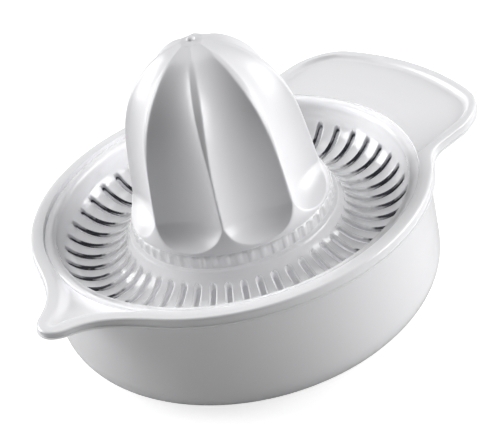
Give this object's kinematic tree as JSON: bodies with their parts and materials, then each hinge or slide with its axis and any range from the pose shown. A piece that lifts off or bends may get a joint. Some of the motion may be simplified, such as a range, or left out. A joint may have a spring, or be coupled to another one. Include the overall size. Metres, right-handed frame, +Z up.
{
  "type": "hand citrus juicer",
  "caption": "Hand citrus juicer: round bowl with pouring spout and handle, clear slotted strainer, and a fluted reamer cone that stands on it.",
  "frame": {"origin": "centre of the bowl's flat base, on the surface it stands on", "axes": "+Z up along the bowl's axis, +X along the handle, away from the bowl"},
  "size_m": [0.1928, 0.15, 0.1091],
  "materials": {
    "bowl_plastic": "white, glossy",
    "clear_plastic": "clear, glossy",
    "cone_plastic": "white, glossy"
  },
  "bodies": {
    "bowl": {"bowl": "bowl_plastic"},
    "strainer": {"strainer": "clear_plastic"},
    "cone": {"reamer_cone": "cone_plastic"}
  },
  "joints": [
    {"name": "strainer_lift", "type": "slide", "parent": "bowl", "child": "strainer", "axis": [0, 0, 1], "range_m": [0, 0.06]},
    {"name": "cone_lift", "type": "slide", "parent": "strainer", "child": "cone", "axis": [0, 0, 1], "range_m": [0, 0.06]}
  ]
}
